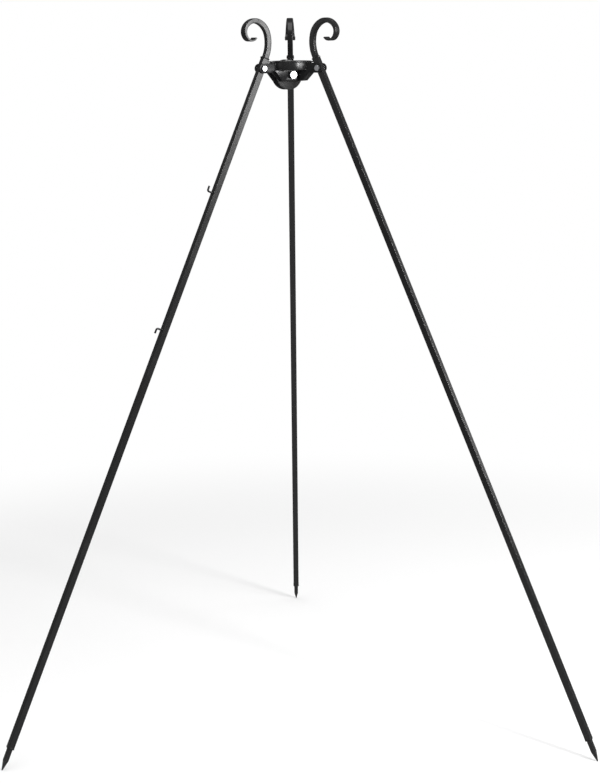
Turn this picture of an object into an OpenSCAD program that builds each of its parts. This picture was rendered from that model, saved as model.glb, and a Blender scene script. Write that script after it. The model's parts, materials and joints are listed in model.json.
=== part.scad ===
// Campfire tripod: three square-tube legs with scrolled tops hinge in a welded ring hub,
// and a rope roller hangs under the hub in its own pair of side plates.
// Millimetres, +Z up. The ground is z = 0, and the origin is the middle of the footprint's box.
// The back leg points along +Y, and the left and right legs stand 120 degrees either side of it.

/* [Stance] */
// Height of the leg pivots above the spike tips
pivot_height = 1675; // [1300:5:2000]
// Distance from the hub's axis to each spike tip
foot_radius = 845; // [550:5:1000]

/* [Leg tubes] */
// Outside width of the square tube
tube_side = 16; // [14:1:20]
// Wall of the square tube
tube_wall = 2; // [1.5:0.5:2.5]
// Outside corner radius of the square tube
tube_corner = 1.5; // [0.5:0.25:2.5]
// Length of tube that stands above the pivot
tube_head = 26; // [22:1:34]

/* [Ground spikes] */
// Length of spike that shows below the tube
spike_out = 58; // [45:1:80]
// Length of the spike's point
spike_point = 26; // [16:1:36]
// Width of the blunt end of the point
spike_tip = 2.5; // [1.5:0.5:5]
// Length of spike inside the tube
spike_seat = 40; // [25:1:80]

/* [Scrolls] */
// Width of the square bar that is butt-welded onto the tube's head
scroll_side = 14; // [12:0.5:16]
// Straight length of scroll bar above the tube, before the first bend
scroll_neck = 4.5; // [1:0.5:12]
// Thickness of the scroll bar at its forged tip
scroll_tip_t = 4; // [3:0.5:6]
// Width of the scroll bar at its forged tip
scroll_tip_w = 27; // [16:1:30]
// Rings along each bend of the scroll
scroll_rings = 12; // [6:1:20]

/* [Hub] */
// Distance from the hub's axis to each leg pivot
pivot_radius = 84; // [80:1:96]
// Outside diameter of the ring
ring_od = 104; // [100:1:112]
// Wall of the ring
ring_wall = 3; // [2:0.5:3]
// Height of the ring
ring_h = 19; // [16:1:26]
// Drop of the ring's lower edge below the pivots
ring_drop = 5; // [3:0.5:7]
// Thickness of the top plate
plate_t = 3; // [2:0.5:5]
// Thickness of the cheek plates and side plates
cheek_t = 4; // [3:0.5:5]
// Radius of the cheeks' rounded ears
ear_r = 11.5; // [11:0.5:14]
// Depth of the cheeks' lower edge below the pivots
cheek_depth = 31.5; // [27:0.5:36]
// Distance of the cheeks' lower corner inside the pivots
cheek_foot_in = 44; // [38:1:48]
// Distance inside the pivots at which the cheeks' lower edge starts to slope
cheek_slope_in = 24; // [18:1:30]
// Length by which the cheeks nearest the roller's side plates start short of them
near_cheek_set = 6; // [0:1:8]

/* [Pivot bolts] */
// Diameter of the pivot bolts
bolt_d = 8; // [6:1:10]
// Width across the flats of their heads and nuts
bolt_af = 13; // [10:1:15]
// Height of the bolt heads
bolt_head_h = 5.3; // [4:0.1:7]
// Height of the nuts
bolt_nut_h = 6.5; // [5:0.1:8]
// Thickness of the washers
bolt_washer_t = 1.2; // [0.8:0.1:1.6]
// Length of thread that stands past the nuts
bolt_stub = 2.5; // [1:0.5:4]

/* [Rope roller] */
// Outside diameter of the roller's flanges
roller_d = 74; // [60:1:75]
// Width of the roller over its flanges
rim_w = 26; // [20:1:26]
// Length of the roller's boss along its axle
roller_w = 42; // [36:1:44]
// Diameter of the boss
boss_d = 28; // [26:1:34]
// Diameter at the bottom of the rope groove
groove_d = 46; // [36:1:60]
// Width at the bottom of the rope groove
groove_w = 12; // [8:1:14]
// Thickness of each flange at its edge
flange_t = 4; // [3:0.5:5]
// Distance of the axle from the hub's axis, towards the left leg
roller_offset = 11; // [6:1:11]
// Depth of the axle below the pivots
roller_drop = 16.5; // [16.5:0.5:20]
// Diameter of the roller's axle bolt
axle_d = 12; // [10:1:14]
// Width across the flats of its head and nut
axle_af = 19; // [17:1:22]
// Height of its head
axle_head_h = 7.5; // [6:0.5:9]
// Height of its nut
axle_nut_h = 10; // [8:0.5:11]
// Length of thread that stands past its nut
axle_stub = 3; // [1:0.5:5]
// Thickness of the washers either side of the roller
axle_washer_t = 1.5; // [1:0.1:2.5]
// Wall of the bronze bush in the roller
bush_wall = 2; // [1.5:0.5:3]
// Depth of the side plates' lower edge below the pivots
plate_depth = 32; // [32:0.5:36]
// Length of the side plates' lower edge
plate_foot = 53; // [48:1:56]
// Length of the side plates' top edge past the ring, towards the left leg
plate_lip = 14; // [8:1:16]

/* [Rope hooks] */
// Diameter of the hook rod
hook_d = 5; // [4:0.5:6]
// Reach from the tube's face to the middle of the upright tip
hook_reach = 14; // [11:0.5:18]
// Length from the bend to the rod's end
hook_tip = 9; // [6:0.5:14]
// Inside radius of the bend
hook_bend = 2; // [1:0.5:4]
// Distance of the upper hook below the pivot, along the leg
upper_hook_at = 331; // [200:1:450]
// Distance of the lower hook below the pivot, along the leg
lower_hook_at = 691; // [500:1:900]

/* [Clearances] */
// Radial running clearance of bolts in their holes
run_gap = 0.05; // [0.02:0.01:0.08]
// Gap left between a moving leg or roller and what it passes
side_play = 0.3; // [0.25:0.05:0.5]
// Gap between a solid bar and the tube it is pushed into
bar_gap = 0.1; // [0.05:0.05:0.15]
// Gap between the clevises and the roller's side plates
clevis_gap = 1; // [0.5:0.25:2]
// Gap round the roller at the left leg's cheeks and in the top plate's slot
roller_room = 2; // [1.5:0.5:2.5]

/* [Hidden] */
LEFT = 210;
RIGHT = 330;
BACK = 90;

// How far a cut runs past the face it goes through
over = 1;
// Share of the scroll bar's length at which the forging starts
forge_from = 0.42;

BLACK = [0.06, 0.06, 0.065];
ZINC = [0.75, 0.76, 0.78];
BRONZE = [0.62, 0.46, 0.24];

// Legs: the lean from upright, and the length from the pivot to the spike tip
leg_run = foot_radius - pivot_radius;
lean = atan(leg_run / pivot_height);
leg_length = norm([leg_run, pivot_height]);
tube_end = leg_length - spike_out;
bar_side = tube_side - 2 * (tube_wall + bar_gap);

// The blunt tips' inner edges are their lowest, and their outer edges reach furthest out
hub_z = pivot_height + spike_tip / 2 * sin(lean);
tip_out = foot_radius + spike_tip / 2 * cos(lean);
hub_y = -(tip_out - (tip_out * cos(60) + spike_tip / 2 * sin(60))) / 2;

// Hub levels, measured from the pivots
ring_bottom = -ring_drop;
ring_top = ring_h - ring_drop;
plate_top = ring_top + plate_t;
ring_r = ring_od / 2;

// Clevis: the washers fill the room between tube and cheek, apart from the side play
cheek_gap = tube_side + 2 * (bolt_washer_t + side_play);
cheek_mid = (cheek_gap + cheek_t) / 2;
cheek_outer = cheek_gap / 2 + cheek_t;
foot_corner = pivot_radius - cheek_foot_in;
shoulder = pivot_radius - cheek_slope_in;
bolt_hole_r = bolt_d / 2 + run_gap;

// The top plate's tongues stop the legs: each ends just short of the leaning tube
tube_inner_u = pivot_radius - tube_side / 2 / cos(lean) - plate_top * tan(lean);
tongue_reach = tube_inner_u - side_play / cos(lean);

// Roller, centred on the left leg's plane
plate_gap = roller_w + 2 * (axle_washer_t + side_play);
plate_mid = (plate_gap + cheek_t) / 2;
plate_outer = plate_gap / 2 + cheek_t;
// Radius from the hub's axis at which the side plates cross the ring's outside
ring_reach = sqrt(pow(ring_r, 2) - pow(plate_mid, 2));
axle_r = axle_d / 2;
bush_bore_r = axle_r + run_gap;
bush_r = bush_bore_r + bush_wall;
// Half the length of the top plate's slot, where the roller's top comes through
slot_reach = sqrt(max(1, pow(roller_d / 2 + roller_room, 2) - pow(ring_top + roller_drop, 2)));
// Cheeks stop short of the roller on the left, and of the roller's side plates elsewhere
left_cheek_inner = roller_offset + roller_d / 2 + roller_room;
far_cheek_inner = (plate_outer + cheek_outer / 2 + clevis_gap) / sin(60);
near_cheek_inner = (plate_outer - cheek_gap / 4 + clevis_gap) / sin(60) + near_cheek_set;

module at_hub(azimuth)
    translate([0, hub_y, hub_z]) rotate([0, 0, azimuth]) children();

module at_pivot(azimuth)
    at_hub(azimuth) translate([pivot_radius, 0, 0]) children();

// Leg frame: -Z runs down the leg and +X is its outer face
module on_leg(azimuth)
    at_pivot(azimuth) rotate([0, -lean, 0]) children();

module at_axle()
    at_hub(LEFT) translate([roller_offset, 0, -roller_drop]) children();

// A plate that stands in a leg's plane: the outline's x is radius and its y is height
module upright(thickness)
    rotate([90, 0, 0]) linear_extrude(thickness, center = true) children();

module rod_across(r, length)
    rotate([90, 0, 0]) cylinder(r = r, h = length, center = true, $fn = 64);

module hex(af, h)
    cylinder(r = af / 2 / cos(30), h = h, $fn = 6);

module washer(bore_r, outer_r, t)
    difference() {
        cylinder(r = outer_r, h = t, $fn = 64);
        translate([0, 0, -over]) cylinder(r = bore_r, h = t + 2 * over, $fn = 64);
    }

// Things on a cross bolt: z runs outwards along the bolt from the leg's plane
module across(side)
    rotate([-90 * side, 0, 0]) children();

// ---- Hub ----

module hub_ring()
    color(BLACK) at_hub(0) translate([0, 0, ring_bottom]) difference() {
        cylinder(r = ring_r, h = ring_h, $fn = 128);
        translate([0, 0, -over]) cylinder(r = ring_r - ring_wall, h = ring_h + 2 * over, $fn = 128);
    }

module top_plate()
    color(BLACK) at_hub(0) translate([0, 0, ring_top]) linear_extrude(plate_t) difference() {
        union() {
            circle(r = ring_r, $fn = 128);
            for (azimuth = [LEFT, RIGHT, BACK])
                rotate(azimuth) translate([0, -cheek_gap / 2]) square([tongue_reach, cheek_gap]);
        }
        rotate(LEFT) translate([roller_offset, 0])
            square([2 * slot_reach, rim_w + 2 * roller_room], center = true);
    }

module cheek_outline(inner)
    difference() {
        union() {
            polygon([[0, -cheek_depth], [foot_corner, -cheek_depth], [shoulder, -ear_r],
                     [pivot_radius, -ear_r], [pivot_radius, ear_r], [0, ring_top]]);
            translate([pivot_radius, 0]) circle(r = ear_r, $fn = 96);
        }
        translate([-over, -2 * cheek_depth]) square([inner + over, 4 * cheek_depth]);
    }

// One cheek of a clevis, cut to the outside of the ring that it is welded to
module cheek(azimuth, side, inner)
    color(BLACK) at_hub(azimuth) difference() {
        translate([0, side * cheek_mid, 0]) upright(cheek_t) cheek_outline(inner);
        translate([0, 0, ring_bottom]) cylinder(r = ring_r, h = ring_h + 2 * plate_t, $fn = 128);
        translate([pivot_radius, 0, 0]) rod_across(bolt_hole_r, 3 * cheek_outer);
    }

module left_cheek_front() cheek(LEFT, 1, left_cheek_inner);
module left_cheek_rear() cheek(LEFT, -1, left_cheek_inner);
module right_cheek_front() cheek(RIGHT, -1, near_cheek_inner);
module right_cheek_rear() cheek(RIGHT, 1, far_cheek_inner);
module back_cheek_left() cheek(BACK, 1, near_cheek_inner);
module back_cheek_right() cheek(BACK, -1, far_cheek_inner);

// The bent web that joins a clevis's two cheeks along their lower edges, cut clear of the side plate
module clevis_floor(azimuth) {
    slope = atan2(cheek_depth - ear_r, shoulder - foot_corner);
    color(BLACK) at_hub(azimuth) difference() {
        upright(cheek_gap)
            polygon([[near_cheek_inner, -cheek_depth], [foot_corner, -cheek_depth],
                     [shoulder, -ear_r],
                     [shoulder, -ear_r] + cheek_t * [-sin(slope), cos(slope)],
                     [foot_corner, -cheek_depth] + cheek_t * [-tan(slope / 2), 1],
                     [near_cheek_inner, -cheek_depth + cheek_t]]);
        rotate(LEFT - azimuth)
            cube([2 * ring_od, 2 * (plate_outer + clevis_gap), 3 * cheek_depth], center = true);
    }
}

module right_clevis_floor() clevis_floor(RIGHT);
module back_clevis_floor() clevis_floor(BACK);

// ---- Rope roller ----

// Side plate that hangs from the ring's lower edge and carries one end of the axle
module roller_plate(side)
    color(BLACK) at_axle() difference() {
        translate([0, side * plate_mid, 0]) upright(cheek_t)
            polygon([[-ring_reach - roller_offset, roller_drop + ring_bottom],
                     [-plate_foot / 2, roller_drop - plate_depth],
                     [plate_foot / 2, roller_drop - plate_depth],
                     [ring_reach + plate_lip - roller_offset, roller_drop + ring_bottom]]);
        rod_across(axle_r + run_gap, 3 * plate_outer);
    }

module roller_plate_front() roller_plate(1);
module roller_plate_rear() roller_plate(-1);

module rope_roller()
    color(BLACK) at_axle() rotate([90, 0, 0])
        rotate_extrude($fn = 128)
            polygon([[bush_r, -roller_w / 2], [boss_d / 2, -roller_w / 2],
                     [boss_d / 2, -rim_w / 2], [roller_d / 2, -rim_w / 2],
                     [roller_d / 2, -rim_w / 2 + flange_t],
                     [groove_d / 2, -groove_w / 2], [groove_d / 2, groove_w / 2],
                     [roller_d / 2, rim_w / 2 - flange_t],
                     [roller_d / 2, rim_w / 2], [boss_d / 2, rim_w / 2],
                     [boss_d / 2, roller_w / 2], [bush_r, roller_w / 2]]);

module roller_bush()
    color(BRONZE) at_axle() rotate([90, 0, 0]) translate([0, 0, -roller_w / 2])
        washer(bush_bore_r, bush_r, roller_w);

module roller_axle_bolt()
    color(ZINC) at_axle() across(1) {
        translate([0, 0, plate_outer]) hex(axle_af, axle_head_h);
        translate([0, 0, -plate_outer - axle_nut_h - axle_stub])
            cylinder(r = axle_r, h = 2 * plate_outer + axle_nut_h + axle_stub, $fn = 64);
    }

module roller_axle_nut()
    color(ZINC) at_axle() across(-1) translate([0, 0, plate_outer]) difference() {
        hex(axle_af, axle_nut_h);
        translate([0, 0, -over]) cylinder(r = axle_r + run_gap, h = axle_nut_h + 2 * over, $fn = 64);
    }

module roller_washers()
    color(ZINC) at_axle() for (side = [-1, 1])
        across(side) translate([0, 0, plate_gap / 2 - axle_washer_t])
            washer(axle_r + 2 * run_gap, axle_d, axle_washer_t);

// ---- Pivot bolts: the heads face the front on the left and right legs ----

module pivot_bolt(azimuth, side) {
    past_cheek = bolt_washer_t + bolt_nut_h + bolt_stub;
    color(ZINC) at_pivot(azimuth) across(side) {
        translate([0, 0, cheek_outer]) hex(bolt_af, bolt_head_h);
        translate([0, 0, -cheek_outer - past_cheek])
            cylinder(r = bolt_d / 2, h = 2 * cheek_outer + past_cheek, $fn = 64);
    }
}

module pivot_nut(azimuth, side)
    color(ZINC) at_pivot(azimuth) across(-side)
        translate([0, 0, cheek_outer + bolt_washer_t]) difference() {
            hex(bolt_af, bolt_nut_h);
            translate([0, 0, -over]) cylinder(r = bolt_hole_r, h = bolt_nut_h + 2 * over, $fn = 64);
        }

module left_pivot_bolt() pivot_bolt(LEFT, 1);
module right_pivot_bolt() pivot_bolt(RIGHT, -1);
module back_pivot_bolt() pivot_bolt(BACK, 1);
module left_pivot_nut() pivot_nut(LEFT, 1);
module right_pivot_nut() pivot_nut(RIGHT, -1);
module back_pivot_nut() pivot_nut(BACK, 1);

// Two washers inside each clevis, against the cheeks, and one under each nut
module pivot_washers()
    color(ZINC) for (leg = [[LEFT, 1], [RIGHT, -1], [BACK, 1]]) at_pivot(leg[0]) {
        for (side = [-1, 1])
            across(side) translate([0, 0, cheek_gap / 2 - bolt_washer_t])
                washer(bolt_hole_r + run_gap, bolt_d, bolt_washer_t);
        across(-leg[1]) translate([0, 0, cheek_outer])
            washer(bolt_hole_r + run_gap, bolt_d, bolt_washer_t);
    }

// ---- Legs ----

module tube_outline()
    difference() {
        union() {
            square([tube_side, tube_side - 2 * tube_corner], center = true);
            square([tube_side - 2 * tube_corner, tube_side], center = true);
            for (x = [-1, 1], y = [-1, 1])
                translate([x, y] * (tube_side / 2 - tube_corner)) circle(r = tube_corner, $fn = 32);
        }
        square(tube_side - 2 * tube_wall, center = true);
    }

module leg_tube(azimuth)
    color(BLACK) on_leg(azimuth) difference() {
        translate([0, 0, -tube_end]) linear_extrude(tube_end + tube_head) tube_outline();
        rod_across(bolt_hole_r, 2 * tube_side);
    }

module left_leg_tube() leg_tube(LEFT);
module right_leg_tube() leg_tube(RIGHT);
module back_leg_tube() leg_tube(BACK);

// A square bar whose last stretch narrows to a blunt point
module spike(azimuth) {
    a = bar_side / 2;
    b = spike_tip / 2;
    levels = [[-leg_length, b], [-leg_length + spike_point, a], [-tube_end + spike_seat, a]];
    points = [for (level = levels, corner = [[-1, -1], [1, -1], [1, 1], [-1, 1]])
                  [corner.x * level[1], corner.y * level[1], level[0]]];
    sides = [for (k = [0, 1], i = [0:3])
                 [4 * k + i, 4 * k + 4 + i, 4 * k + 4 + (i + 1) % 4, 4 * k + (i + 1) % 4]];
    color(BLACK) on_leg(azimuth)
        polyhedron(points, concat([[0, 1, 2, 3], [11, 10, 9, 8]], sides));
}

module left_spike() spike(LEFT);
module right_spike() spike(RIGHT);
module back_spike() spike(BACK);

// The scroll's bends, each a radius and a turn in degrees, from the neck to the tip
bends = [[86, 37], [45, 50], [29, 88], [24, 76], [13.6, 105]];
turn_sum = [for (k = 0, t = 0; k <= len(bends); t = t + (k < len(bends) ? bends[k][1] : 0), k = k + 1) t];

// Where a bend that starts at p with heading h has got to after turning by a degrees;
// headings are measured from upright towards the leg's outer face
function on_bend(p, h, r, a) = p + r * [cos(h) - cos(h + a), sin(h + a) - sin(h)];
function bend_start(k) =
    k == 0 ? [0, tube_head + scroll_neck] : on_bend(bend_start(k - 1), turn_sum[k - 1], bends[k - 1][0],
                                                    bends[k - 1][1]);
arc_length = [for (bend = bends) bend[0] * bend[1] * PI / 180];
function length_to(k) = k == 0 ? scroll_neck : length_to(k - 1) + arc_length[k - 1];
scroll_length = length_to(len(bends));
function ease(x) = let (t = max(0, min(1, x))) t * t * (3 - 2 * t);

// The spine's stations: place, heading and length so far
stations = concat(
    [[[0, tube_head], 0, 0], [[0, tube_head + scroll_neck], 0, scroll_neck]],
    [for (k = [0:len(bends) - 1], i = [1:scroll_rings])
        let (a = bends[k][1] * i / scroll_rings)
        [on_bend(bend_start(k), turn_sum[k], bends[k][0], a), turn_sum[k] + a,
         length_to(k) + arc_length[k] * i / scroll_rings]]);

// The bar is square at first, then forged thinner and wider to its tip
function forged(s) = ease((s / scroll_length - forge_from) / (1 - forge_from));
function bar_t(s) = scroll_side + (scroll_tip_t - scroll_side) * forged(s);
function bar_w(s) = scroll_side + (scroll_tip_w - scroll_side) * forged(s);

module scroll(azimuth) {
    points = [for (st = stations, corner = [[-1, -1], [1, -1], [1, 1], [-1, 1]])
                  let (t = corner.x * bar_t(st[2]) / 2, w = corner.y * bar_w(st[2]) / 2)
                  [st[0].x + t * cos(st[1]), w, st[0].y - t * sin(st[1])]];
    last = 4 * (len(stations) - 1);
    faces = [for (k = [0:len(stations) - 2], i = [0:3])
                 let (a = 4 * k + i, b = 4 * k + (i + 1) % 4)
                 each [[a, a + 4, b + 4], [a, b + 4, b]]];
    caps = [[0, 1, 2], [0, 2, 3], [last + 2, last + 1, last], [last + 3, last + 2, last]];
    color(BLACK) on_leg(azimuth) polyhedron(points, concat(caps, faces));
}

module left_scroll() scroll(LEFT);
module right_scroll() scroll(RIGHT);
module back_scroll() scroll(BACK);

// Bent-rod hook on the left leg's outer face: way is 1 for a tip that points up the leg
module rope_hook(at, way) {
    r = hook_d / 2;
    bend = hook_bend + r;
    face = tube_side / 2;
    color(BLACK) on_leg(LEFT) translate([face, 0, -at]) mirror([0, 0, way == 1 ? 0 : 1]) {
        rotate([0, 90, 0]) cylinder(r = r, h = hook_reach - bend, $fn = 48);
        translate([hook_reach - bend, 0, bend]) rotate([90, 0, 0]) rotate([0, 0, -90])
            rotate_extrude(angle = 90, $fn = 48) translate([bend, 0]) circle(r = r, $fn = 48);
        translate([hook_reach, 0, bend]) cylinder(r = r, h = hook_tip, $fn = 48);
    }
}

module upper_rope_hook() rope_hook(upper_hook_at, 1);
module lower_rope_hook() rope_hook(lower_hook_at, -1);

hub_ring();
top_plate();
left_cheek_front();
left_cheek_rear();
right_cheek_front();
right_cheek_rear();
back_cheek_left();
back_cheek_right();
right_clevis_floor();
back_clevis_floor();
roller_plate_front();
roller_plate_rear();
rope_roller();
roller_bush();
roller_axle_bolt();
roller_axle_nut();
roller_washers();
left_pivot_bolt();
right_pivot_bolt();
back_pivot_bolt();
left_pivot_nut();
right_pivot_nut();
back_pivot_nut();
pivot_washers();
left_leg_tube();
right_leg_tube();
back_leg_tube();
left_scroll();
right_scroll();
back_scroll();
left_spike();
right_spike();
back_spike();
upper_rope_hook();
lower_rope_hook();
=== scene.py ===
# %% [markdown]
# # A campfire tripod, from bare frame to finished ironwork
#
# The real tripod is three square steel tubes that hinge in a welded ring. A smith curls a bar into a
# scroll for the head of each tube and pushes a pointed bar into its foot, and a roller for the rope
# hangs under the ring. The working parts arrive here as a fixed frame at their true size.
#
# A frame could be shown as it is, but machine-cut solids have knife edges and no welds. This lesson
# keeps every size and place and adds what the hand leaves behind: forged curls, weld beads, broken
# edges, screw threads and black paint. Everything is in metres.

# %% Load the frame
import json
import math
import bmesh
import bpy
from mathutils import Matrix, Vector, noise


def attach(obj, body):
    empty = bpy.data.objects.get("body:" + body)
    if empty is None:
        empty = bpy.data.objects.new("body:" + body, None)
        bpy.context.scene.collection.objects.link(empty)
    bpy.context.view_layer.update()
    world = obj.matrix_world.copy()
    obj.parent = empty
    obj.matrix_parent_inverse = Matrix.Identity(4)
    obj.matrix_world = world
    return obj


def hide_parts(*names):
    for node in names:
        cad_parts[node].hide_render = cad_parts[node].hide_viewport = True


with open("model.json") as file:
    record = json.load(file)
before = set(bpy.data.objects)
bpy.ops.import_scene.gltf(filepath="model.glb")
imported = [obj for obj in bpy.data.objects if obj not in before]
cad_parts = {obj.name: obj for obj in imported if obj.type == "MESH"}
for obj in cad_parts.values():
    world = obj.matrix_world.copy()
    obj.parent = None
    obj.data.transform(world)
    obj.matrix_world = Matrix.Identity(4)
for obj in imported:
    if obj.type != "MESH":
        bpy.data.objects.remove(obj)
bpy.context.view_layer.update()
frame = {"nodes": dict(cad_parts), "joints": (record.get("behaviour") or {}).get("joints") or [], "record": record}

MM = 0.001

# %% [markdown]
# ## Where things are
#
# A leg leans, so sizes that are simple on the bench, such as the height of the tube above its bolt,
# are slanted in the room. One could turn each number by hand. It is easier to give every leg a frame
# of its own, a matrix whose Z runs up the tube and whose X comes out of its outer face, and to
# measure the frame's parts in it. The hinge and the ground point are in the record, so the matrix
# follows from two points.

# %% Frames of the legs, the ring and the roller
LEGS = ("left", "right", "back")
joints = {joint["name"]: joint for joint in frame["joints"]}
mounts = {mount["name"]: mount for mount in frame["record"]["mounts"]}


def axes(origin, x, z):
    """A matrix that takes local points to the room: Z along z, and X as near to x as it can be."""
    z = z.normalized()
    y = z.cross(x).normalized()
    turn = Matrix((y.cross(z), y, z)).transposed()
    return Matrix.Translation(origin) @ turn.to_4x4()


def leg_frame(leg):
    """Origin on the pivot, Z up the tube and X through its outer face."""
    pivot = Vector(joints[f"{leg}_leg_fold"]["pos_m"])
    foot = Vector(mounts[f"{leg}_ground_point"]["pos_m"])
    return axes(pivot, Vector((foot.x - pivot.x, foot.y - pivot.y, 0)), pivot - foot)


def box_in(place, *nodes):
    """Lowest and highest corners of CAD nodes, measured along the axes of a frame."""
    back = place.inverted()
    points = [back @ vertex.co for node in nodes for vertex in frame["nodes"][node].data.vertices]
    return Vector(map(min, zip(*points))), Vector(map(max, zip(*points)))


UP = Vector((0, 0, 1))
leg_at = {leg: leg_frame(leg) for leg in LEGS}
pivots = [leg_at[leg].translation for leg in LEGS]
hub_centre = sum(pivots, Vector()) / len(pivots)
radial = {leg: axes(hub_centre, leg_at[leg].translation - hub_centre, UP) for leg in LEGS}
axle = joints["roller_spin"]
axle_at = axes(Vector(axle["pos_m"]), UP, Vector(axle["axis"]))
hub_at = Matrix.Translation(hub_centre)
print("hub centre", [round(c, 4) for c in hub_centre], "leg length",
      round((pivots[0] - Vector(mounts["left_ground_point"]["pos_m"])).length, 4))

# %% [markdown]
# ## The camera
#
# The tripod is tall and thin, so a wide lens would splay its legs. A long lens from over four metres
# away keeps them true. The eye is a little above the hub and looks down to take in the feet.

# %% Set up the camera
SENSOR = 36
LENS = 79.6
EYE_DISTANCE = 4.389
EYE_HEIGHT = 1.790
EYE_SIDE = math.radians(0.24)
LOOK_DOWN = 0.2110
LOOK_RIGHT = 0.0073
TILT = -0.0121

camera = bpy.data.objects.new("camera", bpy.data.cameras.new("camera"))
camera.data.sensor_width = SENSOR
camera.data.lens = LENS
eye = Vector((-EYE_DISTANCE * math.sin(EYE_SIDE),
              hub_centre.y - EYE_DISTANCE * math.cos(EYE_SIDE),
              EYE_HEIGHT))
camera.matrix_world = (Matrix.Translation(eye) @ Matrix.Rotation(-LOOK_RIGHT, 4, "Z")
                       @ Matrix.Rotation(math.pi / 2 - LOOK_DOWN, 4, "X") @ Matrix.Rotation(TILT, 4, "Z"))
bpy.context.scene.collection.objects.link(camera)
bpy.context.scene.camera = camera
bpy.context.scene.view_settings.view_transform = "Standard"
print("camera at", [round(c, 3) for c in eye])

# %% [markdown]
# ## Shader maths in plain Python
#
# A material is a graph of nodes, and building one by hand hides the sum it stands for. A small class
# that holds a socket and answers to +, - and * lets the sum be read as a sum. Every other node is
# added by its one method, node().

# %% A socket that does sums
class Wire:
    """An output socket of a material. Sums of wires add Math nodes to its tree."""

    def __init__(self, tree, socket=None):
        self.tree = tree
        self.socket = socket

    def node(self, kind, settings=None, sockets=None, out=0):
        """Adds a node: first its settings, then the values or wires of its sockets."""
        made = self.tree.nodes.new(kind)
        for name, value in (settings or {}).items():
            setattr(made, name, value)
        for name, value in (sockets or {}).items():
            if isinstance(value, Wire):
                self.tree.links.new(value.socket, made.inputs[name])
            else:
                made.inputs[name].default_value = value
        return Wire(self.tree, made.outputs[out])

    def maths(self, operation, a, b):
        return self.node("ShaderNodeMath", {"operation": operation}, {0: a, 1: b})

    def __add__(self, other):
        return self.maths("ADD", self, other)

    def __radd__(self, other):
        return self.maths("ADD", other, self)

    def __sub__(self, other):
        return self.maths("SUBTRACT", self, other)

    def __rsub__(self, other):
        return self.maths("SUBTRACT", other, self)

    def __mul__(self, other):
        return self.maths("MULTIPLY", self, other)

    def __rmul__(self, other):
        return self.maths("MULTIPLY", other, self)

    def between(self, low, high):
        """0 where the wire is at low, 1 where it is at high, and smooth between."""
        return self.node("ShaderNodeMapRange", {"interpolation_type": "SMOOTHSTEP"},
                         {"Value": self, "From Min": low, "From Max": high})

    def mix(self, first, second):
        """The first colour where the wire is 0, and the second where it is 1."""
        return self.node("ShaderNodeMix", {"data_type": "RGBA"},
                         {"Factor": self, "A": first, "B": second}, out=2)


def new_material(name):
    """An empty material, its tree's first wire and its output node."""
    material = bpy.data.materials.new(name)
    material.use_nodes = True
    material.node_tree.nodes.clear()
    return material, Wire(material.node_tree), material.node_tree.nodes.new("ShaderNodeOutputMaterial")


def finish_material(tree, output, shader):
    """Joins the last shader to the material's output."""
    tree.tree.links.new(shader.socket, output.inputs["Surface"])


print("shader maths ready")

# %% [markdown]
# ## Floor, backdrop and lamps
#
# Black paint has almost no colour of its own: what shows is what it reflects. So the studio matters
# as much as the paint. A high and a low soft box to the right and a key strip in front draw the bright
# line down the legs' corners and the gleam on the ring. A strip behind edges the back, a wide box
# overhead catches the tops of the scrolls, and a weak card lifts the left. The floor is white, and the
# breath of shadow that it keeps near the feet fades out farther away.

# %% Lay the floor
WHITE = (1, 1, 1, 1)
FLOOR_HALF = 14.0
FLOOR_TONE = 0.80
FLOOR_GLOW = 0.17
GLOSS_NEAR = 0.34
GLOSS_FAR = 0.08
SHADOW_NEAR = 1.3
SHADOW_FAR = 2.6

material, wire, output = new_material("studio_floor")
spot = wire.node("ShaderNodeTexCoord", out="Object")
far = wire.node("ShaderNodeVectorMath", {"operation": "LENGTH"}, {0: spot}, out="Value")
paper = wire.node("ShaderNodeBsdfDiffuse", sockets={"Color": (FLOOR_TONE, FLOOR_TONE, FLOOR_TONE, 1)})
glow = wire.node("ShaderNodeEmission", sockets={"Color": WHITE, "Strength": FLOOR_GLOW})
lit = wire.node("ShaderNodeAddShader", sockets={0: paper, 1: glow})
white = wire.node("ShaderNodeEmission", sockets={"Color": WHITE, "Strength": 1.0})
fade = far.between(SHADOW_NEAR, SHADOW_FAR)
dim = wire.node("ShaderNodeEmission", sockets={
    "Color": WHITE, "Strength": GLOSS_NEAR + fade * (GLOSS_FAR - GLOSS_NEAR)})
faded = wire.node("ShaderNodeMixShader", sockets={"Fac": fade, 1: lit, 2: white})
seen = wire.node("ShaderNodeMixShader", sockets={
    "Fac": wire.node("ShaderNodeLightPath", out="Is Camera Ray"), 1: paper, 2: faded})
finish_material(wire, output, wire.node("ShaderNodeMixShader", sockets={
    "Fac": wire.node("ShaderNodeLightPath", out="Is Glossy Ray"), 1: seen, 2: dim}))

bm = bmesh.new()
bmesh.ops.create_grid(bm, x_segments=1, y_segments=1, size=FLOOR_HALF)
floor_mesh = bpy.data.meshes.new("studio_floor")
bm.to_mesh(floor_mesh)
bm.free()
floor_mesh.materials.append(material)
floor = bpy.data.objects.new("studio_floor", floor_mesh)
bpy.context.scene.collection.objects.link(floor)
print("floor", 2 * FLOOR_HALF, "m square")

# %% Light the studio
WORLD_FILL = 0.62
WORLD_SEEN = 1.0
WORLD_GLOSS = 0.13


def soft_box(name, place, target, width, height, watts):
    """An area lamp that faces a target."""
    lamp = bpy.data.objects.new(name, bpy.data.lights.new(name, "AREA"))
    lamp.data.shape = "RECTANGLE"
    lamp.data.size = width
    lamp.data.size_y = height
    lamp.data.energy = watts
    lamp.matrix_world = Matrix.Translation(place) @ (Vector(place) - Vector(target)).to_track_quat(
        "Z", "Y").to_matrix().to_4x4()
    bpy.context.scene.collection.objects.link(lamp)


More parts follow.
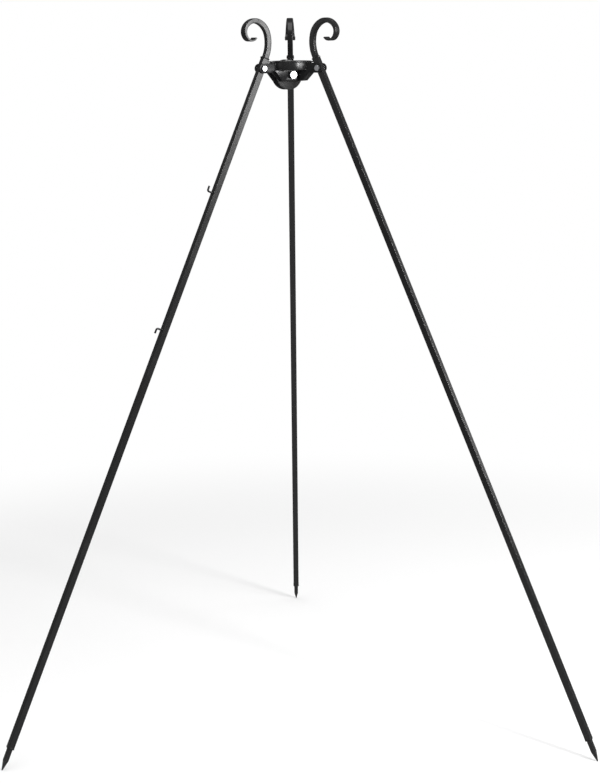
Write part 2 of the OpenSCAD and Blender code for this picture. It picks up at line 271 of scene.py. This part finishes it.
# Each lamp's place, its target, its width and height, and its watts
LAMPS = {
    "right_low_box": ((3.0, -1.95, 1.41), (0, -0.2, 1.5), 1.0, 0.30, 5),
    "right_high_box": ((3.0, -1.95, 2.12), (0, -0.2, 1.7), 1.0, 1.05, 36),
    "key_strip": ((2.5, -2.9, 2.5), (0, -0.2, 1.3), 0.3, 1.9, 95),
    "rear_strip": ((3.2, 1.0, 1.9), (0, -0.2, 1.6), 0.35, 1.6, 9),
    "overhead_soft_box": ((-0.2, -0.9, 3.7), (0, -0.2, 1.0), 1.9, 1.9, 24),
    "left_card": ((-3.1, -1.95, 1.95), (0, -0.2, 1.7), 1.0, 0.9, 1.3),
}
for name, lamp in LAMPS.items():
    soft_box(name, *lamp)

world = bpy.data.worlds.new("studio")
world.use_nodes = True
world.node_tree.nodes.clear()
sky = Wire(world.node_tree)
camera_ray = sky.node("ShaderNodeLightPath", out="Is Camera Ray")
gloss_ray = sky.node("ShaderNodeLightPath", out="Is Glossy Ray")
unseen = gloss_ray * WORLD_GLOSS + (1 - gloss_ray) * WORLD_FILL
strength = camera_ray * WORLD_SEEN + (1 - camera_ray) * unseen
background = sky.node("ShaderNodeBackground", sockets={"Color": WHITE, "Strength": strength})
world_output = world.node_tree.nodes.new("ShaderNodeOutputWorld")
world.node_tree.links.new(background.socket, world_output.inputs["Surface"])
bpy.context.scene.world = world

# %% [markdown]
# ## Black paint
#
# Paint on steel shows three things close up: the fine orange peel of the spray, the form beneath it,
# and dust. On drawn tube the form is straight, with faint lines along the length. On forged bar it is
# dented by the hammer. All of it is bump, laid over one dark colour, with a roughness that wanders.
# The cheeks get a copy of the paint with less gloss, a painted shade that keeps them dark beside the gleam of the
# ring.

# %% Paint for tube, forging and plate
BLACK = (0.012, 0.012, 0.0125, 1)
DUSTY = (0.026, 0.025, 0.024, 1)
CLOUD_SCALE = 14
PEEL_SCALE = 650
DENT_SCALE = 95.0
DRAWN_STRETCH = (900, 900, 6)


def along(wire, place):
    """Object coordinates turned into the frame of a piece."""
    turned = place.inverted().to_euler()
    return wire.node("ShaderNodeMapping", {"vector_type": "POINT"},
                     {"Vector": wire.node("ShaderNodeTexCoord", out="Object"),
                      "Rotation": (turned.x, turned.y, turned.z)})


def stretched(wire, coords, factors):
    """The same coordinates, stretched along each axis."""
    return wire.node("ShaderNodeVectorMath", {"operation": "MULTIPLY"}, {0: coords, 1: factors})


def grain(wire, coords, scale, detail=2.0):
    """Soft noise from 0 to 1, with about this many lumps to the metre."""
    return wire.node("ShaderNodeTexNoise", sockets={"Vector": coords, "Scale": scale, "Detail": detail})


def bumped(wire, height, depth, under=None):
    """A normal from a height in metres per unit."""
    sockets = {"Height": height, "Distance": depth, "Strength": 1.0}
    if under:
        sockets["Normal"] = under
    return wire.node("ShaderNodeBump", sockets=sockets)


def black_paint(name, place, rough, peel, hammer=0.0, drawn=0.0, specular=0.5):
    """Black paint: rough is its roughness, and peel, hammer and drawn are depths in metres."""
    material, wire, output = new_material(name)
    coords = along(wire, place)
    cloud = grain(wire, coords, CLOUD_SCALE, 4.0)
    fine = grain(wire, coords, PEEL_SCALE)
    normal = bumped(wire, fine, peel)
    if hammer:
        dents = wire.node("ShaderNodeTexVoronoi", {"feature": "SMOOTH_F1"},
                          {"Vector": coords, "Scale": DENT_SCALE, "Smoothness": 0.6})
        normal = bumped(wire, dents, hammer, normal)
    if drawn:
        lines = grain(wire, stretched(wire, coords, DRAWN_STRETCH), 1.0)
        normal = bumped(wire, lines, drawn, normal)
    dust = cloud.between(0.5, 0.85) * fine.between(0.35, 0.75)
    shader = wire.node("ShaderNodeBsdfPrincipled", sockets={
        "Base Color": dust.mix(BLACK, DUSTY),
        "Roughness": rough + cloud * 0.10 + dust * 0.15,
        "Specular IOR Level": specular,
        "Normal": normal})
    finish_material(wire, output, shader)
    return material


tube_paint = {leg: black_paint(f"{leg}_tube_paint", leg_at[leg],
                               rough=0.20, peel=0.00002, drawn=0.00001)
              for leg in LEGS}
forged_paint = {leg: black_paint(f"{leg}_forged_paint", leg_at[leg],
                                 rough=0.18, peel=0.00002, hammer=0.0001)
                for leg in LEGS}
hub_paint = black_paint("hub_paint", hub_at, rough=0.20, peel=0.00003)
# A duller copy of the hub paint, with less specular and more roughness: painted shade on the cheeks.
shaded_cheek_paint = black_paint("shaded_cheek_paint", hub_at, rough=0.30, peel=0.00004, specular=0.2)
roller_paint = black_paint("roller_paint", axle_at, rough=0.30, peel=0.00005)
weld_paint = black_paint("weld_paint", hub_at, rough=0.14, peel=0.00006)
print("paints:", len(tube_paint) + len(forged_paint) + 4)

# %% [markdown]
# ## Zinc and bronze
#
# The bolts are bright zinc plate over steel: a metal whose tone drifts a little and whose gloss is
# broken by a fine satin. The bush is plain bronze, dull where oil has dried on it.

# %% Metals
DRIFT_SCALE = 120
SATIN_SCALE = 1500


def bare_metal(name, place, light, dark, rough, depth):
    """A plated or turned metal that drifts between two colours."""
    material, wire, output = new_material(name)
    coords = along(wire, place)
    drift = grain(wire, coords, DRIFT_SCALE, 3.0)
    satin = grain(wire, stretched(wire, coords, (1, 1, 6)), SATIN_SCALE)
    shader = wire.node("ShaderNodeBsdfPrincipled", sockets={
        "Base Color": drift.between(0.3, 0.7).mix(light, dark),
        "Metallic": 1.0,
        "Roughness": rough + drift * 0.12,
        "Normal": bumped(wire, satin, depth)})
    finish_material(wire, output, shader)
    return material


zinc = bare_metal("zinc", hub_at, (0.80, 0.81, 0.83, 1), (0.66, 0.67, 0.70, 1), 0.26, 0.00001)
bronze = bare_metal("bronze", axle_at, (0.55, 0.38, 0.17, 1), (0.38, 0.25, 0.11, 1), 0.35, 0.00001)
print("metals: zinc, bronze")

# %% [markdown]
# ## Tools for modelling
#
# Nearly every part of this tripod is one of three things: a bar that runs along a line, a ring that
# was turned on a lathe, or a plate with its edges broken. Each gets one helper. The first extrudes a
# face from station to station, the second spins an outline, and the third bevels a copy of a plate.

# %% Turn a bmesh into a piece
def piece(bm, name, body, material, replaced=(), smooth_under=40):
    """Makes an object of a bmesh, rides it on a body and gives it its finish."""
    bmesh.ops.recalc_face_normals(bm, faces=bm.faces)
    mesh = bpy.data.meshes.new(name)
    bm.to_mesh(mesh)
    bm.free()
    mesh.shade_smooth()
    mesh.set_sharp_from_angle(angle=math.radians(smooth_under))
    mesh.materials.append(material)
    made = bpy.data.objects.new(name, mesh)
    bpy.context.scene.collection.objects.link(made)
    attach(made, body)
    if replaced:
        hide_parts(*replaced)
    return made


def faces_of(geometry):
    return [part for part in geometry if isinstance(part, bmesh.types.BMFace)]


def verts_of(faces):
    return list({vert for face in faces for vert in face.verts})


def sharp_edges(bm, degrees):
    """Edges where two faces meet at more than this angle."""
    return [e for e in bm.edges if len(e.link_faces) == 2 and e.calc_face_angle(0) > math.radians(degrees)]


def round_edges(bm, edges, radius, segments=2):
    """Breaks edges with a small round."""
    bmesh.ops.bevel(bm, geom=edges, offset=radius, offset_type="OFFSET", segments=segments,
                    profile=0.5, affect="EDGES", clamp_overlap=True, material=-1)


def sweep(bm, faces, stations):
    """Extrudes faces from station to station. A station is a frame and the width and depth there."""
    for (place, size), (next_place, next_size) in zip(stations, stations[1:]):
        faces = faces_of(bmesh.ops.extrude_face_region(bm, geom=faces)["geom"])
        grow = Matrix.Diagonal((next_size[0] / size[0], next_size[1] / size[1], 1, 1))
        bmesh.ops.transform(bm, matrix=next_place @ grow @ place.inverted(), verts=verts_of(faces))
    return faces


def square_bar(cuts, station, corner=0.14):
    """The first section of a square bar, cut into a grid, with its corners rounded."""
    place, size = station
    bm = bmesh.new()
    bmesh.ops.create_grid(bm, x_segments=cuts, y_segments=cuts, size=0.5)
    corners = [vert for vert in bm.verts if len(vert.link_edges) == 2]
    bmesh.ops.bevel(bm, geom=corners, offset=corner, offset_type="OFFSET", segments=3, profile=0.5,
                    affect="VERTICES", material=-1)
    bmesh.ops.transform(bm, matrix=place @ Matrix.Diagonal((size[0], size[1], 1, 1)), verts=bm.verts)
    return bm


def round_bar(sides, station):
    """A bmesh that holds the first section of a round rod at its station."""
    place, size = station
    bm = bmesh.new()
    bmesh.ops.create_circle(bm, cap_ends=True, segments=sides, radius=0.5,
                            matrix=place @ Matrix.Diagonal((size[0], size[1], 1, 1)))
    return bm


def joined(parts):
    """One bmesh out of several."""
    whole = bmesh.new()
    for part in parts:
        mesh = bpy.data.meshes.new("part")
        part.to_mesh(mesh)
        part.free()
        whole.from_mesh(mesh)
        bpy.data.meshes.remove(mesh)
    return whole


print("bar tools ready")

# %% [markdown]
# ## The scrolls
#
# A smith heats the end of a square bar, draws it out thinner and wider with the hammer, and rolls it
# back on itself over the anvil's horn. A curve with a bevel would give the line but not the changing
# section, and a spin cannot taper. So the bar's end face, its corners already rounded, is extruded a
# few degrees at a time, turned about the centre of each bend, and thinned as it goes. The tip's rim is
# then rounded, and the whole skin is pressed in by a slow noise, as hammer blows leave it.

# %% Lay out the scroll's line
SCROLL_BENDS = ((86, 37), (45, 50), (29, 88), (24, 76), (13.6, 105))
SCROLL_NECK = 4.5 * MM
SCROLL_BAR = 14 * MM
SCROLL_TIP = (4 * MM, 27 * MM)
FORGE_FROM = 0.42
RINGS_PER_BEND = 22

bend_arcs = [radius * MM * math.radians(turn) for radius, turn in SCROLL_BENDS]
scroll_length = SCROLL_NECK + sum(bend_arcs)


def ease(x):
    """0 to 1, smooth at both ends."""
    x = max(0.0, min(1.0, x))
    return x * x * (3 - 2 * x)


def forged_size(length):
    """Thickness and width of the bar at a length along it."""
    share = ease((length / scroll_length - FORGE_FROM) / (1 - FORGE_FROM))
    return tuple(SCROLL_BAR + (tip - SCROLL_BAR) * share for tip in SCROLL_TIP)


def scroll_line(leg):
    """The stations of a scroll, from the tube's end to its tip."""
    foot = box_in(leg_at[leg], f"{leg}_scroll")[0].z
    place = leg_at[leg] @ Matrix.Translation((0, 0, foot))
    stations = [(place, forged_size(0))]
    place = place @ Matrix.Translation((0, 0, SCROLL_NECK))
    stations.append((place, forged_size(SCROLL_NECK)))
    length = SCROLL_NECK
    for (radius, turn), arc in zip(SCROLL_BENDS, bend_arcs):
        to_centre = Matrix.Translation((radius * MM, 0, 0))
        step = Matrix.Rotation(math.radians(turn / RINGS_PER_BEND), 4, "Y")
        for _ in range(RINGS_PER_BEND):
            place = place @ to_centre @ step @ to_centre.inverted()
            length += arc / RINGS_PER_BEND
            stations.append((place, forged_size(length)))
    return stations


print("scroll bar is", round(scroll_length, 3), "m long from the tube")

# %% Forge the scrolls
HAMMER = 0.35 * MM
HAMMER_SIZE = 14 * MM
SCROLL_EDGE = 0.9 * MM
SEED_SHIFT = 7.3


def hammered(bm, depth, size, seed):
    """Presses a skin in by a slow noise, as blows leave it."""
    bmesh.ops.recalc_face_normals(bm, faces=bm.faces)
    bm.normal_update()
    shift = Vector((seed, seed, seed)) * SEED_SHIFT
    moves = [(v, v.normal * (noise.noise(v.co / size + shift) - 1) * depth / 2) for v in bm.verts]
    for vert, move in moves:
        vert.co += move


def rim_of(faces):
    """The edges round a patch of faces."""
    inside = set(faces)
    return [edge for face in faces for edge in face.edges if not inside.issuperset(edge.link_faces)]


def scroll(leg, seed):
    stations = scroll_line(leg)
    bm = square_bar(4, stations[0])
    tip = sweep(bm, list(bm.faces), stations)
    round_edges(bm, rim_of(tip), SCROLL_EDGE)
    hammered(bm, HAMMER, HAMMER_SIZE, seed)
    return piece(bm, f"{leg}_forged_scroll", f"{leg}_leg", forged_paint[leg],
                 [f"{leg}_scroll"], smooth_under=60)


for seed, leg in enumerate(LEGS):
    made = scroll(leg, seed)
    print(made.name, len(made.data.polygons), "faces")

# %% [markdown]
# ## The ground spikes
#
# The foot is the same square bar, hammered to a blunt point over its last inch so that it bites into
# soil. It is swept like the scroll, in a straight line, and only its last stations shrink.

# %% Forge the spikes
SPIKE_TIP = 2.5 * MM
SPIKE_POINT = 26 * MM
STRAIGHT_RINGS = 16
POINT_RINGS = 8
SPIKE_DENT = 0.3 * MM
SPIKE_DENT_SIZE = 8 * MM
SPIKE_SEED = 5


def spike(leg, seed):
    low, high = box_in(leg_at[leg], f"{leg}_spike")
    bar = high.x - low.x
    levels = [high.z + (low.z + SPIKE_POINT - high.z) * k / STRAIGHT_RINGS
              for k in range(STRAIGHT_RINGS + 1)]
    levels += [low.z + SPIKE_POINT * (1 - k / POINT_RINGS) for k in range(1, POINT_RINGS + 1)]
    stations = []
    for level in levels:
        share = min(1.0, (level - low.z) / SPIKE_POINT)
        side = SPIKE_TIP + (bar - SPIKE_TIP) * share
        stations.append((leg_at[leg] @ Matrix.Translation((0, 0, level)), (side, side)))
    bm = square_bar(3, stations[0], corner=0.1)
    sweep(bm, list(bm.faces), stations)
    hammered(bm, SPIKE_DENT, SPIKE_DENT_SIZE, seed + SPIKE_SEED)
    return piece(bm, f"{leg}_forged_spike", f"{leg}_leg", forged_paint[leg],
                 [f"{leg}_spike"])


for seed, leg in enumerate(LEGS):
    print(spike(leg, seed).name)

# %% [markdown]
# ## The rope hooks
#
# Two short rods stand off the left leg's outer face to take turns of rope. Each is cut, heated and
# bent over the edge of the anvil, one tip up and one down. A round section is swept along the two
# straights and the bend between them.

# %% Bend the rope hooks
HOOK_BEND = 4.5 * MM
HOOK_TURNS = 10
HOOK_EDGE = 0.8 * MM
HOOK_DENT = 0.15 * MM
HOOK_DENT_SIZE = 5 * MM
HOOK_SEED = 9

# 1 where the tip points up the leg, and -1 where it points down
HOOKS = {"upper_rope_hook": 1, "lower_rope_hook": -1}


def hook_root(node):
    """A hook's lowest and highest corners, its rod's width and the height where the rod starts."""
    low, high = box_in(leg_at["left"], node)
    rod = high.y - low.y
    root = (low.z if HOOKS[node] > 0 else high.z) + HOOKS[node] * rod / 2
    return low, high, rod, root


def hook(node, way):
    """A bent rod whose tip points up the leg where way is 1."""
    low, high, rod, root = hook_root(node)
    place = leg_at["left"] @ axes(Vector((low.x, 0, root)), Vector((0, 0, way)), Vector((1, 0, 0)))
    stations = [(place, (rod, rod))]
    place = place @ Matrix.Translation((0, 0, high.x - low.x - rod / 2 - HOOK_BEND))
    stations.append((place, (rod, rod)))
    to_centre = Matrix.Translation((HOOK_BEND, 0, 0))
    step = Matrix.Rotation(math.radians(90 / HOOK_TURNS), 4, "Y")
    for _ in range(HOOK_TURNS):
        place = place @ to_centre @ step @ to_centre.inverted()
        stations.append((place, (rod, rod)))
    end = high.z - low.z - rod / 2 - HOOK_BEND
    for part in (0.25, 0.5, 0.75, 1.0):
        stations.append((place @ Matrix.Translation((0, 0, end * part)), (rod, rod)))
    bm = round_bar(24, stations[0])
    tip = sweep(bm, list(bm.faces), stations)
    round_edges(bm, rim_of(tip), HOOK_EDGE, 3)
    hammered(bm, HOOK_DENT, HOOK_DENT_SIZE, HOOK_SEED + way)
    return piece(bm, f"bent_{node}", "left_leg", forged_paint["left"], [node])


for node, way in HOOKS.items():
    print(hook(node, way).name)

# %% [markdown]
# ## Turned parts
#
# The ring, the roller and its bush are bodies of revolution. Their outlines are a few points of radius
# and height. The corners of the outline are rounded first, and the outline is then spun once round,
# with its ends merged.

# %% Spin an outline
def turned(outline, place, rounding, steps=96):
    """A bmesh of an outline of (radius, height) points, spun about the Z axis of a place."""
    bm = bmesh.new()
    corners = [bm.verts.new((radius, 0, height)) for radius, height in outline]
    face = bm.faces.new(corners)
    if rounding:
        bmesh.ops.bevel(bm, geom=list(bm.verts), offset=rounding, offset_type="OFFSET", segments=3,
                        profile=0.5, affect="VERTICES", clamp_overlap=True, material=-1)
    bmesh.ops.delete(bm, geom=list(bm.faces), context="FACES_ONLY")
    bmesh.ops.spin(bm, geom=list(bm.verts) + list(bm.edges), cent=(0, 0, 0), axis=(0, 0, 1),
                   angle=2 * math.pi, steps=steps, use_merge=True)
    bmesh.ops.transform(bm, matrix=place, verts=bm.verts)
    return bm


def band(inner, outer, low, high):
    """The outline of a plain ring."""
    return [(inner, low), (outer, low), (outer, high), (inner, high)]


print("lathe ready")

# %% Turn the ring, the roller and the bush
RING_WALL = 3 * MM
RIM_HALF = 13 * MM
FLANGE = 4 * MM
GROOVE_RADIUS = 23 * MM
GROOVE_HALF = 6 * MM
BOSS_RADIUS = 14 * MM
AXLE_RADIUS = 6.05 * MM
RING_EDGE = 0.8 * MM
ROLLER_EDGE = 0.9 * MM
BUSH_EDGE = 0.3 * MM

ring_low, ring_high = box_in(hub_at, "hub_ring")
ring_radius = ring_high.x
ring_outline = band(ring_radius - RING_WALL, ring_radius, ring_low.z, ring_high.z)
piece(turned(ring_outline, hub_at, RING_EDGE, 160), "welded_ring", "hub", hub_paint,
      ["hub_ring"])

roller_low, roller_high = box_in(axle_at, "rope_roller")
roller_radius, boss_half = roller_high.x, roller_high.z
bush_radius = box_in(axle_at, "roller_bush")[1].x
half_outline = [(bush_radius, boss_half), (BOSS_RADIUS, boss_half), (BOSS_RADIUS, RIM_HALF),
                (roller_radius, RIM_HALF), (roller_radius, RIM_HALF - FLANGE), (GROOVE_RADIUS, GROOVE_HALF)]
roller_outline = half_outline + [(radius, -height) for radius, height in reversed(half_outline)]
piece(turned(roller_outline, axle_at, ROLLER_EDGE, 128), "turned_roller", "roller", roller_paint,
      ["rope_roller"])
bush_outline = band(AXLE_RADIUS, bush_radius, -boss_half, boss_half)
piece(turned(bush_outline, axle_at, BUSH_EDGE, 64), "bronze_bush", "roller", bronze,
      ["roller_bush"])
print("ring", round(2 * ring_radius, 3), "roller", round(2 * roller_radius, 3), "x", round(2 * RIM_HALF, 3))

# %% [markdown]
# ## The cut plates
#
# The hub's plates are cut from sheet and their edges broken with a grinder before welding. Each is
# already in the frame with its right outline, so it is copied, its flat facets are joined into whole
# faces, and every sharp edge gets a small round. Under gloss paint that round is what draws the
# bright line along an edge.

# %% Break the plates' edges
EDGE_BREAK = 0.6 * MM
WASHER_BREAK = EDGE_BREAK / 3
PLATES = ["top_plate", "left_cheek_front", "left_cheek_rear", "right_cheek_front", "right_cheek_rear",
          "back_cheek_left", "back_cheek_right", "right_clevis_floor", "back_clevis_floor",
          "roller_plate_front", "roller_plate_rear"]


def edge_broken(node, radius):
    """A copy of a CAD node with every sharp edge rounded."""
    bm = bmesh.new()
    bm.from_mesh(frame["nodes"][node].data)
    bmesh.ops.remove_doubles(bm, verts=bm.verts, dist=1e-6)
    bmesh.ops.dissolve_limit(bm, angle_limit=math.radians(0.5), verts=bm.verts, edges=bm.edges)
    round_edges(bm, sharp_edges(bm, 30), radius)
    return bm


for name in PLATES:
    # The cheeks take the duller copy of the paint, their painted shade.
    paint = shaded_cheek_paint if "cheek" in name else hub_paint
    piece(edge_broken(name, EDGE_BREAK), f"ground_{name}", "hub", paint, [name],
          smooth_under=35)
for name in ("roller_washers", "pivot_washers"):
    piece(edge_broken(name, WASHER_BREAK), f"plated_{name}", "hub", zinc, [name],
          smooth_under=35)
print(len(PLATES), "plates and two sets of washers")

# %% [markdown]
# ## Weld beads
#
# A bead of weld is a row of small frozen puddles. It could be scattered blobs, but a real bead is one
# skin, so a round section is swept along the seam and made to swell and sink once for each puddle. The
# scrolls and spikes are welded all round their tubes' ends, which leaves a rough collar.

# %% Run the beads
BEAD_STEP = 0.6 * MM
PUDDLE = 2.7 * MM
PUDDLE_SWELL = 0.17
WANDER = 0.3
WANDER_SIZE = 4 * MM
BEAD_END = 0.45
BEAD_SIDE = Vector((0.31, 0.17, 0.93))


def walk(path):
    """Points a short step apart along a path of corners."""
    spots = [path[0]]
    for start, end in zip(path, path[1:]):
        count = max(1, round((end - start).length / BEAD_STEP))
        spots += [start.lerp(end, k / count) for k in range(1, count + 1)]
    return spots


def bead(path, radius, seed):
    """A weld bead along a path: a round bar that swells once for each puddle."""
    spots = walk(path)
    side = BEAD_SIDE
    stations = []
    for k, spot in enumerate(spots):
        ahead = spots[min(k + 1, len(spots) - 1)] - spots[max(k - 1, 0)]
        wander = noise.noise(spot / WANDER_SIZE + Vector((seed, 0, 0)))
        swell = 1 + PUDDLE_SWELL * math.cos(2 * math.pi * k * BEAD_STEP / PUDDLE) + WANDER * wander
        if k in (0, len(spots) - 1):
            swell *= BEAD_END
        place = axes(spot, side, ahead)
        side = place.to_3x3().col[0]
        stations.append((place, (2 * radius * swell, 2 * radius * swell)))
    bm = round_bar(10, stations[0])
    sweep(bm, list(bm.faces), stations)
    return bm


def square_path(place, half, level):
    """Round a square tube at a height along it, a little past the start."""
    corners = [(half, 0), (half, half), (-half, half), (-half, -half), (half, -half), (half, 0.2 * half)]
    return [place @ Vector((x, y, level)) for x, y in corners]


def ring_path(place, radius):
    """Round a rod that stands on the XY plane of a place."""
    return [place @ Vector((radius * math.cos(k * math.pi / 8), radius * math.sin(k * math.pi / 8), 0))
            for k in range(18)]


print("welding tools ready")

# %% Weld the legs
COLLAR_HALF, COLLAR_LIFT, COLLAR_BEAD = 6.9 * MM, 0.6 * MM, 2.3 * MM
FOOT_HALF, FOOT_DROP, FOOT_BEAD = 6.4 * MM, 0.4 * MM, 2.0 * MM
HOOK_GAP, HOOK_BEAD = 0.4 * MM, 1.2 * MM
FOOT_SEED = 20
HOOK_BEAD_SEED = 40

for seed, leg in enumerate(LEGS):
    low, high = box_in(leg_at[leg], f"{leg}_leg_tube")
    collar_path = square_path(leg_at[leg], COLLAR_HALF, high.z + COLLAR_LIFT)
    foot_path = square_path(leg_at[leg], FOOT_HALF, low.z - FOOT_DROP)
    beads = [bead(collar_path, COLLAR_BEAD, seed), bead(foot_path, FOOT_BEAD, seed + FOOT_SEED)]
    piece(joined(beads), f"{leg}_leg_welds", f"{leg}_leg", weld_paint,
          smooth_under=80)

hook_welds = []
for seed, node in enumerate(HOOKS):
    low, high, rod, root = hook_root(node)
    place = leg_at["left"] @ axes(Vector((low.x, 0, root)), Vector((0, 0, 1)), Vector((1, 0, 0)))
    hook_welds.append(bead(ring_path(place, rod / 2 + HOOK_GAP), HOOK_BEAD, seed + HOOK_BEAD_SEED))
piece(joined(hook_welds), "hook_welds", "left_leg", weld_paint, smooth_under=80)
print("beads on the legs:", 2 * len(LEGS) + len(hook_welds))

# %% Weld the hub
HUB_BEAD = 1.9 * MM
STAND_OFF = 0.5 * MM
PLATE_BEAD_ENDS = (-9 * MM, 5 * MM)
CHEEK_SEED = 60
PLATE_SEED = 80

hub_welds = []
for seed, leg in enumerate(LEGS):
    for cheek in [name for name in PLATES if name.startswith(f"{leg}_cheek")]:
        low, high = box_in(radial[leg], cheek)
        face = high.y if high.y > 0 else low.y
        reach = math.sqrt(ring_radius ** 2 - face ** 2) + STAND_OFF
        line = [radial[leg] @ Vector((reach, face, level)) for level in (ring_low.z, ring_high.z)]
        hub_welds.append(bead(line, HUB_BEAD, seed + CHEEK_SEED + face * 1e3))
for plate in ("roller_plate_front", "roller_plate_rear"):
    low, high = box_in(radial["left"], plate)
    face = high.y if high.y > 0 else low.y
    reach = math.sqrt(ring_radius ** 2 - face ** 2)
    for end in (-1, 1):
        line = [radial["left"] @ Vector((end * reach + shift, face, ring_low.z))
                for shift in PLATE_BEAD_ENDS]
        hub_welds.append(bead(line, HUB_BEAD, PLATE_SEED + end))
piece(joined(hub_welds), "hub_welds", "hub", weld_paint, smooth_under=80)
print("beads on the hub:", len(hub_welds))

# %% [markdown]
# ## Bolts and nuts
#
# A bought bolt looks bought because of three details: the corners of its head are cut back by a cone,
# its end shows thread, and its nut is chamfered on both sides. The cone is cut with a ring of slanting
# planes. The thread is a zigzag spun once round while it climbs by one pitch, so each turn meets the
# next, and two cuts trim it to length.

# %% Hexagons with chamfered corners
CHAMFER = math.radians(30)
CHAMFER_PLANES = 24
CHAMFER_START = 0.475


def cut_away(bm, point, normal):
    """Cuts off what lies beyond a plane and closes the hole."""
    geometry = list(bm.verts) + list(bm.edges) + list(bm.faces)
    cut = bmesh.ops.bisect_plane(bm, geom=geometry, dist=1e-7, plane_co=point, plane_no=normal,
                                 clear_outer=True)["geom_cut"]
    edges = [part for part in cut if isinstance(part, bmesh.types.BMEdge)]
    if edges:
        bmesh.ops.holes_fill(bm, edges=edges, sides=0)


def hexagon(flats, low, high, ends):
    """A hexagonal prism along Z, chamfered at the ends given as +1 or -1."""
    bm = bmesh.new()
    corner = flats / 2 / math.cos(math.pi / 6)
    bmesh.ops.create_cone(bm, cap_ends=True, segments=6, radius1=corner, radius2=corner,
                          depth=high - low, matrix=Matrix.Translation((0, 0, (low + high) / 2)))
    for end in ends:
        level = high if end > 0 else low
        for k in range(CHAMFER_PLANES):
            angle = 2 * math.pi * (k + 0.5) / CHAMFER_PLANES
            side = Vector((math.cos(angle), math.sin(angle), 0))
            normal = side * math.sin(CHAMFER) + Vector((0, 0, end * math.cos(CHAMFER)))
            cut_away(bm, side * flats * CHAMFER_START + Vector((0, 0, level)), normal)
    return bm


def bored(bm, radius, low, high):
    """Opens a round hole along Z through a chamfered hexagon."""
    for level in (low, high):
        cap = min(bm.faces, key=lambda f: (abs(f.calc_center_median().z - level), -f.calc_area()))
        size = max(v.co.xy.length for v in cap.verts)
        bmesh.ops.inset_region(bm, faces=[cap], thickness=size - radius, depth=0)
    ends = sorted(bm.faces, key=lambda f: f.calc_center_median().xy.length
                  + abs(f.calc_area() - math.pi * radius * radius) * 1e3)[:2]
    loops = list({edge for face in ends for edge in face.edges})
    bmesh.ops.delete(bm, geom=ends, context="FACES_ONLY")
    bmesh.ops.bridge_loops(bm, edges=loops)
    return bm


THREAD_DEPTH = 0.6
THREAD_STEPS = 32


def threaded(radius, pitch, low, high):
    """A threaded rod along Z from low to high."""
    bm = bmesh.new()
    root = radius - THREAD_DEPTH * pitch
    teeth = math.ceil((high - low) / pitch) + 3
    start = low - 1.5 * pitch
    points = [bm.verts.new((radius if k % 2 else root, 0, start + k * pitch / 2))
              for k in range(2 * teeth)]
    for a, b in zip(points, points[1:]):
        bm.edges.new((a, b))
    bmesh.ops.spin(bm, geom=list(bm.verts) + list(bm.edges), cent=(0, 0, 0), axis=(0, 0, 1),
                   dvec=(0, 0, pitch / THREAD_STEPS), angle=2 * math.pi, steps=THREAD_STEPS)
    bmesh.ops.remove_doubles(bm, verts=bm.verts, dist=1e-6)
    cut_away(bm, (0, 0, high), (0, 0, 1))
    cut_away(bm, (0, 0, low), (0, 0, -1))
    return bm


print("fastener tools ready")

# %% Fit the bolts and nuts
HEAD_SIDE = {"left": 1, "right": -1, "back": 1}
BOLT_RADIUS = 4 * MM
AXLE_BOLT_RADIUS = 6 * MM
BOLT_PITCH = 1.25 * MM
AXLE_PITCH = 1.75 * MM
SHANK_BORE = 0.2 * MM
SHANK_LAP = 0.1 * MM
NUT_PLAY = 0.05 * MM


def bolt_frame(leg):
    """Origin on the pivot, Z along the bolt towards its head."""
    joint = joints[f"{leg}_leg_fold"]
    return axes(Vector(joint["pos_m"]), UP, Vector(joint["axis"]) * HEAD_SIDE[leg])


def heights(place, node):
    """The different heights of a node's corners along the Z axis of a place."""
    back = place.inverted()
    return sorted({round((back @ v.co).z, 5) for v in frame["nodes"][node].data.vertices})


def fit_bolt(place, bolt, nut, radius, pitch):
    """A hex bolt with its nut, as two pieces, sized from their nodes in the frame."""
    bolt_low, bolt_high = box_in(place, bolt)
    nut_low, nut_high = box_in(place, nut)
    flats = 2 * min(nut_high.x, nut_high.y)
    seat = min(level for level in heights(place, bolt) if level > 0)
    head = hexagon(flats, seat, bolt_high.z, (1,))
    shank_outline = band(SHANK_BORE, radius, nut_high.z - SHANK_LAP, seat)
    shank = turned(shank_outline, Matrix.Identity(4), 0, 32)
    thread = threaded(radius, pitch, bolt_low.z, nut_high.z)
    bolt_mesh = joined([head, shank, thread])
    bmesh.ops.transform(bolt_mesh, matrix=place, verts=bolt_mesh.verts)
    nut_mesh = bored(hexagon(flats, nut_low.z, nut_high.z, (1, -1)), radius + NUT_PLAY,
                     nut_low.z, nut_high.z)
    bmesh.ops.transform(nut_mesh, matrix=place, verts=nut_mesh.verts)
    piece(bolt_mesh, f"{bolt}_hex", "hub", zinc, [bolt], smooth_under=25)
    piece(nut_mesh, f"{nut}_hex", "hub", zinc, [nut], smooth_under=25)
    return flats


for leg in LEGS:
    flats = fit_bolt(bolt_frame(leg), f"{leg}_pivot_bolt", f"{leg}_pivot_nut",
                     BOLT_RADIUS, BOLT_PITCH)
print("pivot bolts", round(flats / MM, 1), "mm across flats")
flats = fit_bolt(axle_at, "roller_axle_bolt", "roller_axle_nut", AXLE_BOLT_RADIUS, AXLE_PITCH)
print("axle bolt", round(flats / MM, 1), "mm across flats")

# %% Paint what keeps its shape
for leg in LEGS:
    tube = frame["nodes"][f"{leg}_leg_tube"]
    tube.data.materials.clear()
    tube.data.materials.append(tube_paint[leg])
print("the tubes keep the frame's own shape")
